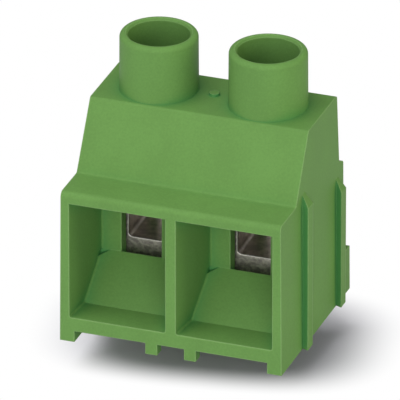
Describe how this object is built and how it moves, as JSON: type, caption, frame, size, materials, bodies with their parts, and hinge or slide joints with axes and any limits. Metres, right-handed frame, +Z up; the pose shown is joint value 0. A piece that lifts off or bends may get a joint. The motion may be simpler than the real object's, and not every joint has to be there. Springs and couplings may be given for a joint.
{
  "type": "pcb screw terminal",
  "caption": "Printed circuit board screw terminal with two rising-cage clamps, round screw towers and funnel wire entries.",
  "frame": {"origin": "on the board's surface, at the middle of the pattern of four solder pins", "axes": "+Z up from the board, along the screws; -Y the side where the wires go in; +X across the poles, to the right as seen from the wire side"},
  "size_m": [0.0212, 0.0181, 0.0293],
  "materials": {
    "green_plastic": "satin moulded polyamide",
    "cage_steel": "dull galvanised",
    "screw_steel": "zinc plated",
    "tinned_brass": "tin plated"
  },
  "bodies": {
    "block": {"housing": "green_plastic", "left_contact": "tinned_brass", "right_contact": "tinned_brass"},
    "left_screw": {"left_screw": "screw_steel"},
    "right_screw": {"right_screw": "screw_steel"},
    "left_cage": {"left_cage": "cage_steel"},
    "right_cage": {"right_cage": "cage_steel"}
  },
  "joints": [
    {"name": "left_screw_turn", "type": "hinge", "parent": "block", "child": "left_screw", "pos_m": [-0.00508, -0.00111, 0.01845], "axis": [0, 0, -1], "range_deg": [0, 2376]},
    {"name": "left_cage_rise", "type": "slide", "parent": "block", "child": "left_cage", "axis": [0, 0, 1], "range_m": [0, 0.0033]},
    {"name": "right_screw_turn", "type": "hinge", "parent": "block", "child": "right_screw", "pos_m": [0.00508, -0.00111, 0.01845], "axis": [0, 0, -1], "range_deg": [0, 2376]},
    {"name": "right_cage_rise", "type": "slide", "parent": "block", "child": "right_cage", "axis": [0, 0, 1], "range_m": [0, 0.0033]}
  ],
  "couplings": [
    {"joint": "left_screw_turn", "follows": "left_cage_rise", "rad_per_m": 12566},
    {"joint": "right_screw_turn", "follows": "right_cage_rise", "rad_per_m": 12566}
  ]
}
